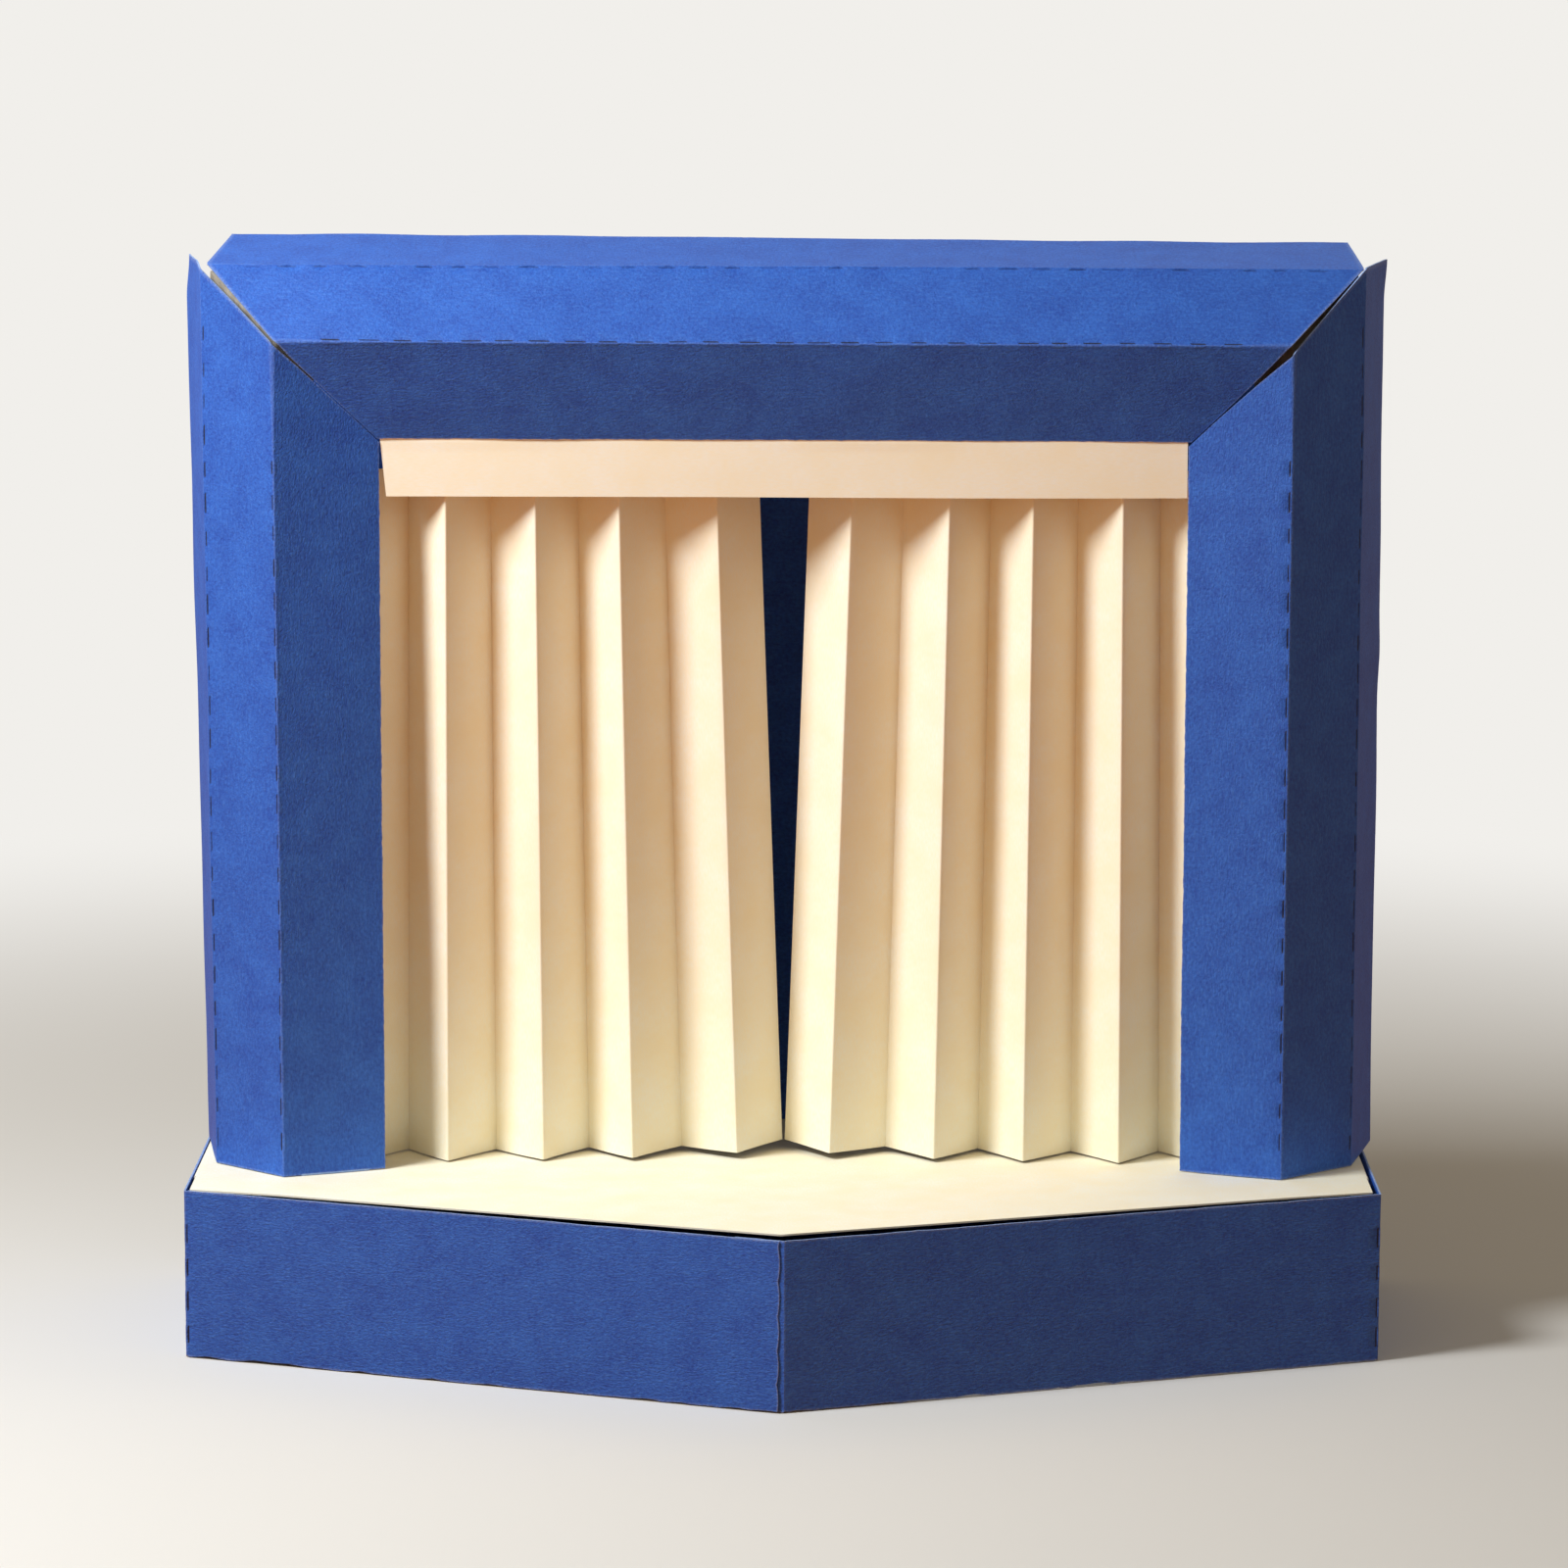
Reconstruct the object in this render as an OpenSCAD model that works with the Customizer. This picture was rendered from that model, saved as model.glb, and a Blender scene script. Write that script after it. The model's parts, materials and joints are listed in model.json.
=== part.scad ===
// Toy theatre of folded card: a five-sided base, a mitred stage frame and two pleated curtains.
// Millimetres, +Z up, the audience on the -Y side, origin under the middle of the base.

/* [Card] */
// Thickness of the card, blue and cream alike
card_t = 0.4; // [0.3:0.05:0.6]
// Width of the glue tabs of the base
glue_tab = 12; // [8:1:16]
// Room left for the glue between a tab and the card it holds
glue_gap = 0.1; // [0.05:0.05:0.2]

/* [Base] */
// Width over the side walls
base_w = 280; // [250:1:320]
// Depth of the side walls, from the front corner to the back wall
base_side = 80; // [70:1:110]
// How far the front point stands ahead of the side corners
base_point = 48; // [20:1:70]
// Height of the walls
base_h = 40; // [25:1:60]
// Gap between the left front panel and the fold of the right one
seam_gap = 0.2; // [0.1:0.1:1]

/* [Stage floor] */
// Gap between the floor and the front walls, at the side corners
floor_gap_front = 1.6; // [0.5:0.1:4]
// How much further back the floor stops at its point
floor_point_back = 4.6; // [0:0.1:8]
// Gap between the floor and the side walls
floor_gap_side = 1.2; // [0.5:0.1:4]
// Depth of the flaps folded down inside the walls
floor_flap = 16; // [8:1:22]
// How far a flap stops short of the glue tabs at the corners
floor_flap_trim = 2; // [1:0.5:10]

/* [Stage frame] */
// Distance from the side wall to the outer fold of a post
frame_inset = 4.9; // [1:0.1:12]
// Distance from the side corners back to the ridge of the frame
frame_setback = 13.7; // [5:0.1:20]
// Width of the outer face of a post, seen from the front
outer_face_w = 17.8; // [10:0.1:24]
// Depth from the ridge back to the outer fold
outer_face_d = 14.9; // [8:0.1:20]
// Width of the inner face of a post, seen from the front
inner_face_w = 23; // [15:0.1:30]
// Depth from the ridge back to the edge of the opening
inner_face_d = 9; // [4:0.1:14]
// Width of the flaps that run back from the outer folds
flap_w = 28; // [22:1:40]
// How far the side flaps lean outwards
post_flap_splay = 17; // [0:1:20]
// How far the top flap leans upwards
beam_flap_splay = 12; // [0:1:20]
// How much shorter the rear edge of the top flap is, at each end
beam_flap_taper = 2.9; // [0:0.1:8]
// Height of the opening, from the stage floor to the beam
opening_h = 173.2; // [130:0.1:200]
// Open gap between beam and post at the mitres
mitre_gap = 0.8; // [0.2:0.1:1.6]
// Depth of the tabs that the posts stand on
foot_tab = 8; // [4:0.5:10]

/* [Corner straps] */
// Width of a strap on each side of the mitre
strap_w = 10; // [6:0.5:16]
// Length of a strap past the ridge, on the inner face
strap_turn = 9; // [4:0.5:10]
// Distance from the outer fold to the strap
strap_inset = 1.5; // [0.5:0.1:3]

/* [Valance] */
// How far the valance hangs below the beam
valance_drop = 12.8; // [8:0.1:25]
// Width of the flange glued behind the beam
valance_flange = 12; // [6:0.5:18]
// Gap between the valance and the left post
valance_gap_left = 1.3; // [0.2:0.1:4]
// Gap between the valance and the right post
valance_gap_right = 0.2; // [0.2:0.1:4]

/* [Curtains] */
// Angle of each pleat panel to the curtain line when closed, from the post to the middle
pleat_angle = [52, 52, 49, 44, 51, 49, 46, 35, 49];
// Distance from the edge of the opening out to the first fold, which hides behind the post
first_fold = 6.1; // [4:0.1:12]
// Gap between the two curtains at the floor
curtain_gap = 0.4; // [0.2:0.1:4]
// Gap between the two curtains at their tops
curtain_gap_top = 12.1; // [4:0.1:24]
// How far the first fold leans towards the middle at its top
curtain_lean = 2.7; // [0:0.1:4]
// Distance from the beam down to the tops of the curtains
curtain_top_drop = 7.2; // [5:0.1:8]
// Room between the valance and the first fold behind it
curtain_clear = 1.1; // [0.8:0.1:4]
// How much further back the curtains stand at the floor than at their tops
curtain_foot_back = 6; // [0:0.1:8]
// Room between the first pleat and the floor
pleat_clear = 0.3; // [0.2:0.1:1]
// How much higher the closing edge hangs than the first pleat
pleat_lift = 1.9; // [1.6:0.1:4]
// Width of the flat end of a curtain, behind the post
curtain_end_w = 24; // [16:0.5:26]
// Depth of the tab that the flat end stands on
curtain_tab = 8; // [4:0.5:12]

/* [Backdrop] */
// Width of the backdrop
backdrop_w = 240; // [180:1:245]
// How far it rises above the top of the opening
backdrop_rise = 12; // [0:1:30]
// Height of its lower edge on the back wall
backdrop_foot = 10; // [0:1:20]

/* [Hidden] */
blue = "#3d66b4";
dark_blue = "#2c4686";
cream = "#f6ecd6";

pleats = len(pleat_angle);
function pleat_names(side) = [for (k = [1 : pleats]) str(side, "_pleat_", k)];

// Depths are counted back from the side corners of the base, and the origin lies mid-depth
depth_shift = (base_point - base_side) / 2;
half_w = base_w / 2;
floor_z = base_h;

// The section shared by posts and beam: distance out from the opening, depth
frame_w = inner_face_w + outer_face_w;
half_opening = half_w - frame_inset - frame_w;
beam_z = floor_z + opening_h;
frame_top = beam_z + frame_w;
ridge_pt = [inner_face_w, frame_setback];
edge_pt = [0, frame_setback + inner_face_d];
fold_pt = [frame_w, frame_setback + outer_face_d];

// Larger than the whole object, for cutting away half a space
reach = base_w + frame_top;

function total(list) = [for (v = list) 1] * list;
function unit(v) = v / norm(v);
function right_of(v) = [v[1], -v[0]];
function backwards(list) = [for (k = [len(list) - 1 : -1 : 0]) list[k]];
function way_on(path, k) = unit(path[min(k + 1, len(path) - 1)] - path[min(k, len(path) - 2)]);
function way_in(path, k) = way_on(path, max(k - 1, 0));

// The inner face of a card whose outer face follows a path, with the card on the right of the path
function inner_pt(path, k) =
    let (a = right_of(way_in(path, k)), b = right_of(way_on(path, k)))
    path[k] + card_t * (a + b) / (1 + a * b);
function inner_path(path) = [for (k = [0 : len(path) - 1]) inner_pt(path, k)];

// Section of a folded card
module folded(path) {
    polygon(concat(path, backwards(inner_path(path))));
}

// Moves a plan drawn from the side corners back to its place
module in_plan(z) {
    translate([0, depth_shift, z]) children();
}

module mirrored() {
    mirror([1, 0, 0]) children();
}

// Base

front_slope = atan2(base_point, half_w);
tip = [0, -base_point];
corner = [half_w, 0];
rear = [half_w, base_side];
left_corner = [-half_w, 0];
left_rear = [-half_w, base_side];

// The front glue tab lies behind the left panel, so the right panel folds a little short of the tip
tab_fold = tip + (card_t + glue_gap) / sin(2 * front_slope) * unit(corner - tip);
tab_end = tab_fold + glue_tab * unit(left_corner - tip);
seam_edge = tip + seam_gap * unit(left_corner - tip);

module base_wall_left() {
    color(blue) in_plan(0) linear_extrude(base_h) folded([seam_edge, left_corner, left_rear]);
}

module base_wall_right() {
    color(blue) in_plan(0) linear_extrude(base_h) folded([rear, corner, tab_fold, tab_end]);
}

module base_back_wall() {
    x = half_w - card_t;
    tab = [0, -glue_tab];
    color(blue)
        in_plan(0)
            linear_extrude(base_h)
                folded([[-x, base_side] + tab, [-x, base_side], [x, base_side], [x, base_side] + tab]);
}

// Stage floor

floor_x = half_w - card_t - floor_gap_side;
floor_rear = base_side - 2 * card_t;
floor_front = (card_t + floor_gap_front) / cos(front_slope) - base_point;
floor_corner = floor_front + floor_x * tan(front_slope);
floor_tip = floor_front + floor_point_back;
floor_outline = [
    [-floor_x, floor_rear],
    [floor_x, floor_rear],
    [floor_x, floor_corner],
    [0, floor_tip],
    [-floor_x, floor_corner],
];
// The edges with flaps, at the rear and the sides, and the room that each flap leans across
last_edge = len(floor_outline) - 1;
floor_flaps = [[0, 0], [1, floor_gap_side], [last_edge, floor_gap_side]];

// A flap folded down along one edge of the floor, its lower edge against the wall
module floor_edge_flap(from, to, room) {
    way = to - from;
    trim = glue_tab + floor_flap_trim;
    translate(from)
        rotate([0, 0, atan2(way[1], way[0])])
            rotate([90, 0, 90])
                translate([0, 0, trim])
                    linear_extrude(norm(way) - 2 * trim)
                        folded([[0, 0], [room, -floor_flap]]);
}

module stage_floor() {
    color(cream)
        in_plan(floor_z)
            union() {
                translate([0, 0, -card_t]) linear_extrude(card_t) polygon(floor_outline);
                for (flap = floor_flaps) {
                    k = flap[0];
                    floor_edge_flap(floor_outline[k], floor_outline[k == last_edge ? 0 : k + 1], flap[1]);
                }
            }
}

// Stage frame

function flap_pt(splay) = fold_pt + flap_w * [sin(splay), cos(splay)];
function frame_path(splay) = [flap_pt(splay), fold_pt, ridge_pt, edge_pt];
post_inner = inner_path(frame_path(post_flap_splay));
inner_ridge = post_inner[2];
inner_edge = post_inner[3];

// Half a space on the post's side of the right mitre, or on the beam's side, kept off it by a distance
module post_side(off) {
    translate([half_opening, 0, beam_z])
        rotate([0, 45, 0]) translate([off, -reach / 2, -reach / 2]) cube(reach);
}

module beam_side(off) {
    translate([half_opening, 0, beam_z])
        rotate([0, 45, 0]) translate([-off - reach, -reach / 2, -reach / 2]) cube(reach);
}

// Places a section for the right post, or lays it along the beam
module along_post() {
    translate([half_opening, depth_shift, floor_z])
        linear_extrude(frame_top - floor_z) children();
}

module along_beam() {
    half_l = half_opening + frame_w;
    translate([half_l, depth_shift, beam_z])
        rotate([0, -90, 0]) linear_extrude(2 * half_l) children();
}

// Tab folded back from the foot of the inner face, flat on the stage floor
module post_foot() {
    way = unit(inner_edge - inner_ridge);
    back = right_of(way);
    start = inner_ridge + foot_tab / 2 * way;
    end = inner_edge - foot_tab / 2 * way;
    translate([half_opening, depth_shift, floor_z])
        linear_extrude(card_t)
            polygon([
                start - card_t / 2 * back,
                end - card_t / 2 * back,
                end + foot_tab * (back - way / 2),
                start + foot_tab * (back + way / 2),
            ]);
}

module post_right() {
    color(blue)
        union() {
            difference() {
                along_post() folded(frame_path(post_flap_splay));
                beam_side(-mitre_gap / 2);
            }
            post_foot();
        }
}

module post_left() {
    mirrored() post_right();
}

// What the beam loses at its right end: the mitre and the slanted end of its flap
module beam_end_cut() {
    post_side(-mitre_gap / 2);
    translate([half_opening + frame_w, depth_shift + fold_pt[1], frame_top - reach / 2])
        rotate([0, 0, atan2(beam_flap_taper, flap_w * cos(beam_flap_splay))])
            translate([0, -reach / 2, 0]) cube(reach);
}

module top_beam() {
    color(blue)
        difference() {
            along_beam() folded(frame_path(beam_flap_splay));
            beam_end_cut();
            mirrored() beam_end_cut();
        }
}

// Section of a strap, flat against the back of the outer face and folded round the ridge
module strap_section() {
    start = post_inner[1] + strap_inset * unit(inner_ridge - post_inner[1]);
    end = inner_ridge + strap_turn * unit(inner_edge - inner_ridge);
    folded([start, inner_ridge, end]);
}

// How far the two halves of a strap run into each other, inside the open gap of the mitre
strap_lap = mitre_gap / 8;

module corner_strap_right() {
    color(cream)
        union() {
            intersection() {
                along_post() strap_section();
                post_side(-strap_lap);
                beam_side(-strap_w);
            }
            intersection() {
                along_beam() strap_section();
                beam_side(-strap_lap);
                post_side(-strap_w);
            }
        }
}

module corner_strap_left() {
    mirrored() corner_strap_right();
}

// The strip hangs from a flange on the back of the beam's lower face
module valance() {
    flange_end = inner_edge + valance_flange * unit(inner_ridge - inner_edge);
    length = 2 * half_opening - valance_gap_left - valance_gap_right;
    color(cream)
        translate([half_opening - valance_gap_right, depth_shift, beam_z])
            rotate([0, -90, 0])
                linear_extrude(length)
                    folded([flange_end, inner_edge, [-valance_drop, inner_edge[1]]]);
}

module backdrop() {
    front = base_side - 2 * card_t;
    height = beam_z + backdrop_rise - backdrop_foot;
    color(dark_blue)
        in_plan(backdrop_foot)
            translate([-backdrop_w / 2, front, 0]) cube([backdrop_w, card_t, height]);
}

// Curtains, worked out for the left one

curtain_h = opening_h - curtain_top_drop;
fold_x = half_opening + first_fold;
spread = total([for (a = pleat_angle) cos(a)]);
thick_share = card_t * total([for (a = pleat_angle) sin(a)]);
pleat_w = (fold_x - curtain_gap / 2 - thick_share) / spread;
pleat_top_w = (fold_x - curtain_lean - curtain_gap_top / 2 - thick_share) / spread;
ridge_depth = inner_edge[1] + card_t + curtain_clear + curtain_foot_back;

// The first panel runs back from a ridge to a valley, the next one forward to a ridge, and so on.
// Each fold turns on the face that its panels close on: the front one in a valley, the back one on a ridge.
function forward(k) = k % 2 == 1;
function pleat_way(k) = [cos(pleat_angle[k]), (forward(k) ? -1 : 1) * sin(pleat_angle[k])];
function pleat_back(k) = [-pleat_way(k)[1], pleat_way(k)[0]];
function pleat_step(k, w) = w * pleat_way(k) + (forward(k) ? card_t : -card_t) * pleat_back(k);
function fold_foot(k) = k == 0 ? [-fold_x, ridge_depth] : fold_foot(k - 1) + pleat_step(k - 1, pleat_w);
function fold_head(k) = k == 0
    ? fold_foot(0) + [curtain_lean, -curtain_foot_back]
    : fold_head(k - 1) + pleat_step(k - 1, pleat_top_w);
// The hem rises towards the closing edge, which swings down as the curtain opens
function hem(k) = pleat_clear + pleat_lift * pow(k / pleats, 3);
// Angle that the card turns through at a fold when closed
function fold_turn(k) = pleat_angle[k] + (k == 0 ? 0 : pleat_angle[k - 1]);
// Radii of the skin that goes round a fold, just inside the faces of the card
round_in = 0.2 * card_t;
round_out = 0.9 * card_t;
// Angle by which that skin laps its own panel, and stays clear of the panel before
round_lap = 20;
round_slack = 3;

// The skin of the card round the outside of a fold, a card's thickness short at its ends
module fold_round(k, length) {
    rotate([-90, 0, 0])
        rotate([0, 0, 90 - round_lap])
            translate([0, 0, card_t])
                rotate_extrude(angle = fold_turn(k) + round_lap - round_slack)
                    translate([round_in, 0]) square([round_out - round_in, length - 2 * card_t]);
}

// One flat panel between two fold lines, with the round of the fold that it starts from
module pleat_panel(k) {
    lean = fold_head(k) - fold_foot(k);
    along = lean * pleat_way(k);
    back = lean * pleat_back(k);
    slope = -atan2(back, curtain_h);
    height = norm([back, curtain_h]);
    thick = card_t * cos(slope);
    near = [along, height] / curtain_h;
    far = [along + pleat_top_w - pleat_w, height] / curtain_h;
    far_foot = [pleat_w, 0];
    low = hem(k);
    far_low = hem(k + 1);
    in_plan(floor_z)
        translate(fold_foot(k))
            rotate([0, 0, atan2(pleat_way(k)[1], pleat_way(k)[0])])
                rotate([90 + slope, 0, 0])
                    mirror([0, 0, forward(k) ? 1 : 0])
                        union() {
                            linear_extrude(thick)
                                polygon([
                                    low * near,
                                    far_foot + far_low * far,
                                    far_foot + (far_low + curtain_h) * far,
                                    (low + curtain_h) * near,
                                ]);
                            translate(low * near)
                                rotate([0, 0, -atan2(along, height)])
                                    mirror([0, 0, 1]) fold_round(k, curtain_h * norm(near));
                        }
}

module left_pleat(k) {
    color(cream) pleat_panel(k);
}

module right_pleat(k) {
    color(cream) mirrored() pleat_panel(k);
}

// The flat end of the curtain, leaning as its folds do, with a tab glued to the stage floor
module left_curtain_end() {
    slope = atan2(curtain_foot_back, curtain_h);
    low = card_t * tan(slope);
    high = norm([curtain_foot_back, curtain_h]);
    margin = curtain_tab / 2;
    color(cream)
        in_plan(floor_z)
            translate(fold_foot(0))
                union() {
                    rotate([90 + slope, 0, 0])
                        linear_extrude(card_t)
                            polygon([
                                [-curtain_end_w, low],
                                [low / high * curtain_lean, low],
                                [curtain_lean, high],
                                [-curtain_end_w, high],
                            ]);
                    translate([margin - curtain_end_w, -card_t / 2, 0])
                        cube([curtain_end_w - 2 * margin, curtain_tab, card_t]);
                }
}

module right_curtain_end() {
    mirrored() left_curtain_end();
}

base_wall_left();
base_wall_right();
base_back_wall();
stage_floor();
post_left();
post_right();
top_beam();
corner_strap_left();
corner_strap_right();
valance();
backdrop();
left_curtain_end();
right_curtain_end();
for (k = [0 : pleats - 1]) {
    left_pleat(k);
    right_pleat(k);
}
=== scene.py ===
import json
import math

import bpy
import numpy as np
from mathutils import Matrix, Vector


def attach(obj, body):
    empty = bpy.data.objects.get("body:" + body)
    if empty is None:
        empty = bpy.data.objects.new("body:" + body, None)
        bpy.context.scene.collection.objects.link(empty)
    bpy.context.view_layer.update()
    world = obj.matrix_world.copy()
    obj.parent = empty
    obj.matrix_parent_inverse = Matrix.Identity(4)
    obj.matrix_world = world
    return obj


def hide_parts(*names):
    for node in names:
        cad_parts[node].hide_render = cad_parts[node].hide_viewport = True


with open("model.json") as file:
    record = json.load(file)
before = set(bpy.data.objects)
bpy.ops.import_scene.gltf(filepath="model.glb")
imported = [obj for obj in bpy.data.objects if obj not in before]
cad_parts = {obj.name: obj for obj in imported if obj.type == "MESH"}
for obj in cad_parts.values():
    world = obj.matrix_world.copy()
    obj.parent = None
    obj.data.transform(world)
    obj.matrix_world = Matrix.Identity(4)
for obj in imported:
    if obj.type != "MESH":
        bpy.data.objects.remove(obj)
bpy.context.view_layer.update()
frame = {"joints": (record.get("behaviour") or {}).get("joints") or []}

# Toy theatre of folded card. Sizes are in millimetres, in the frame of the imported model:
# +Z up, the audience on the -Y side, the origin under the middle of the base.
CARD = 0.4
BASE_HALF = 140.0
BASE_H = 40.0
BASE_TIP = np.array([0.0, -64.0])
CORNER_Y = -16.0
REAR_Y = 64.0
GLUE_TAB = 12.0
FLOOR_Z = 40.0
# Half the width of the opening, and the height of its upper edge
OPENING = 94.3
BEAM_Z = 213.2
FRAME_TOP = 254.0
# The section of posts and beam: distance out from the opening, depth
EDGE = np.array([0.0, 6.7])
RIDGE = np.array([23.0, -2.3])
FOLD = np.array([40.8, 12.6])
FLAP_W = 28.0
# Perforated folds: one slit in every pitch
SLIT_PITCH = 8.0
SLIT_L = 4.6
SLIT_W = 0.8
SLIT_DEEP = 0.3
# Width of the frayed rim of a cut edge
RIM = 0.35
# Distance between the rows of a mesh, and the strips round a fold
ROW = 0.6
ARC = 5
# Places of strips in a folded section
BEFORE = 1
BEND = 2
AFTER = 3
# Folds of the base walls, and of the posts and the beam
CORNER_FOLD = 1
FLAP_FOLD = 1
RIDGE_FOLD = 2


def unit(v):
    return v / np.linalg.norm(v)


def left_of(v):
    return np.array([-v[1], v[0]])


def ease(x):
    x = np.clip(x, 0.0, 1.0)
    return x * x * (3.0 - 2.0 * x)


def waves(along, across, size, seed):
    """Slow swells of a sheet, about -1 to 1, for its flat coordinates."""
    rng = np.random.default_rng(seed)
    total = 0.0
    for _ in range(5):
        turn, phase = rng.uniform(0.0, 2.0 * math.pi, 2)
        length = size * rng.uniform(0.7, 1.7)
        place = along * math.cos(turn) + across * math.sin(turn)
        total = total + np.sin(place * 2.0 * math.pi / length + phase)
    return np.clip(total / 3.0, -1.0, 1.0)


def ragged(count, reach, seed):
    """Small uneven steps along a cut edge."""
    rng = np.random.default_rng(seed)
    raw = rng.normal(0.0, 1.0, count + 2)
    return reach * (raw[:-2] + 2.0 * raw[1:-1] + raw[2:]) / 3.0


def slits(level, first, last, seed):
    """How far a perforated fold gapes, for places along the fold: some slits are open, some almost shut."""
    rng = np.random.default_rng(seed)
    cut = np.zeros(level.shape)
    for start in np.arange(first, last - SLIT_L, SLIT_PITCH):
        begin = start + rng.uniform(-0.4, 0.4)
        inside = (level > begin) & (level < begin + SLIT_L + rng.uniform(-1.2, 0.5))
        cut[inside] = rng.uniform(0.6, 1.0)
    return cut


class Card:
    """A piece of card gathered from closed shells: two faces, and the cut edges all round them."""

    def __init__(self, name, grain_at):
        self.name = name
        self.grain_at = np.array(grain_at, float)
        self.count = 0
        self.points, self.flat, self.faces, self.cut = [], [], [], []
        self.marks = {"wear": [], "slit": []}

    def shell(self, front, back, flat, wear=0.0, slit=0.0, holes=None):
        rows, cols = front.shape[:2]
        whole = np.ones((rows - 1, cols - 1), bool) if holes is None else ~holes
        size = rows * cols
        at = np.arange(size).reshape(rows, cols)
        r, c = np.nonzero(whole)
        faces = [np.stack([at[r, c], at[r, c + 1], at[r + 1, c + 1], at[r + 1, c]], axis=1)]
        faces.append(faces[0][:, ::-1] + size)
        sheets = 2 * len(r)
        border = np.pad(whole, 1)
        corners = ((0, 0), (0, 1), (1, 1), (1, 0))
        beyond = ((-1, 0), (0, 1), (1, 0), (0, -1))
        for k, (dr, dc) in enumerate(beyond):
            r, c = np.nonzero(whole & ~border[1 + dr:rows + dr, 1 + dc:cols + dc])
            p, q = corners[k], corners[(k + 1) % 4]
            a = at[r + p[0], c + p[1]]
            b = at[r + q[0], c + q[1]]
            faces.append(np.stack([b, a, a + size, b + size], axis=1))
        faces = np.concatenate(faces)
        points = np.concatenate([front.reshape(-1, 3), back.reshape(-1, 3)])
        p = points[faces] - points.mean(axis=0)
        volume = np.einsum("ij,ij->", p[:, 0], np.cross(p[:, 1], p[:, 2]) + np.cross(p[:, 2], p[:, 3]))
        if volume < 0:
            faces = faces[:, ::-1]
        self.faces.append(faces + self.count)
        self.cut.append(np.arange(len(faces)) >= sheets)
        self.points.append(points)
        self.flat.append(np.tile(flat.reshape(-1, 2), (2, 1)) + self.grain_at)
        for mark, amount in (("wear", wear), ("slit", slit)):
            self.marks[mark].append(np.tile(np.broadcast_to(amount, (rows, cols)).reshape(-1), 2))
        self.count += 2 * size

    def make(self, node, body, finish):
        faces = np.concatenate(self.faces)
        used, place = np.unique(faces, return_inverse=True)
        faces = place.reshape(faces.shape)
        mesh = bpy.data.meshes.new(self.name)
        mesh.from_pydata((np.concatenate(self.points)[used] * 0.001).tolist(), [], faces.tolist())
        flat = np.concatenate(self.flat)[used][faces.ravel()] * 0.001
        mesh.uv_layers.new(name="flat_card").data.foreach_set("uv", flat.astype(np.float32).ravel())
        for mark, amounts in self.marks.items():
            layer = mesh.attributes.new(mark, "FLOAT", "POINT")
            layer.data.foreach_set("value", np.concatenate(amounts)[used].astype(np.float32))
        slot_name, face_finish, cut_finish = finish
        mesh.materials.append(face_finish)
        mesh.materials.append(cut_finish)
        mesh.polygons.foreach_set("material_index", np.concatenate(self.cut).astype(np.int32))
        mesh.shade_smooth()
        mesh.set_sharp_from_angle(angle=math.radians(48.0))
        piece = bpy.data.objects.new(self.name, mesh)
        bpy.context.scene.collection.objects.link(piece)
        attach(piece, body)
        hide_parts(node)


def strip(fold, place):
    """Kind of the strips at one place of a fold: two narrow ones before it, its bend, or two after it."""
    return 10 * fold + place


def folded_section(corners, radii, steps):
    """Section of a card folded along a path, the card on the right of the way.

    Gives its outer line, the normals, the flat length along it, and a kind for each strip between two points,
    which is 0 away from the folds.
    """
    corners = [np.asarray(c, float) for c in corners]
    ways = [unit(b - a) for a, b in zip(corners, corners[1:])]
    turns = [math.atan2(a[0] * b[1] - a[1] * b[0], a @ b) for a, b in zip(ways, ways[1:])]
    trims = [0.0] + [r * math.tan(abs(t) / 2.0) for r, t in zip(radii, turns)] + [0.0]
    last = len(ways) - 1
    line, normals, flat, kinds = [], [], [], []
    run = 0.0
    for k, way in enumerate(ways):
        out = left_of(way)
        length = np.linalg.norm(corners[k + 1] - corners[k]) - trims[k] - trims[k + 1]
        before = [0.0, SLIT_W / 2.0, SLIT_W] if k else [0.0, RIM]
        after = [SLIT_W, SLIT_W / 2.0, 0.0] if k < last else [RIM, 0.0]
        inside = np.linspace(before[-1], length - after[0], steps[k] + 1)[1:-1]
        stops = np.concatenate([before, inside, length - np.array(after)])
        marks = [strip(k, AFTER)] * 2 if k else [0]
        marks += [0] * steps[k]
        marks += [strip(k + 1, BEFORE)] * 2 if k < last else [0]
        start = corners[k] + trims[k] * way
        line.extend(start + stop * way for stop in stops)
        normals.extend(out for _ in stops)
        flat.extend(run + stops)
        kinds.extend(marks)
        run += length
        if k < last:
            side = math.copysign(1.0, turns[k])
            centre = line[-1] + side * radii[k] * out
            for j in range(1, ARC):
                bend = turns[k] * j / ARC
                normal = np.array([
                    out[0] * math.cos(bend) - out[1] * math.sin(bend),
                    out[0] * math.sin(bend) + out[1] * math.cos(bend),
                ])
                line.append(centre - side * radii[k] * normal)
                normals.append(normal)
                flat.append(run + radii[k] * abs(bend))
            kinds.extend([strip(k + 1, BEND)] * ARC)
            run += radii[k] * abs(turns[k])
    return np.array(line), np.array(normals), np.array(flat), np.array(kinds)


def stacked(sections):
    """Sections row by row, as arrays of rows and columns, with one set of kinds."""
    lines, normals, flats, kinds = zip(*sections)
    return np.stack(lines), np.stack(normals), np.stack(flats), kinds[0]


def rubbed(shape, kinds):
    """How much each point of a folded card is rubbed pale: a little on the folds, more along the cut rims."""
    wear = np.zeros(shape)
    wear[:, :-1][:, kinds % 10 == BEND] = 0.14
    wear[:, [0, -1]] = 0.5
    wear[[0, -1]] = 0.5
    return wear


def kind_columns(kinds, kind):
    """The columns that border strips of one kind."""
    strips = np.nonzero(kinds == kind)[0]
    return np.arange(strips[0], strips[-1] + 2)


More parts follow.
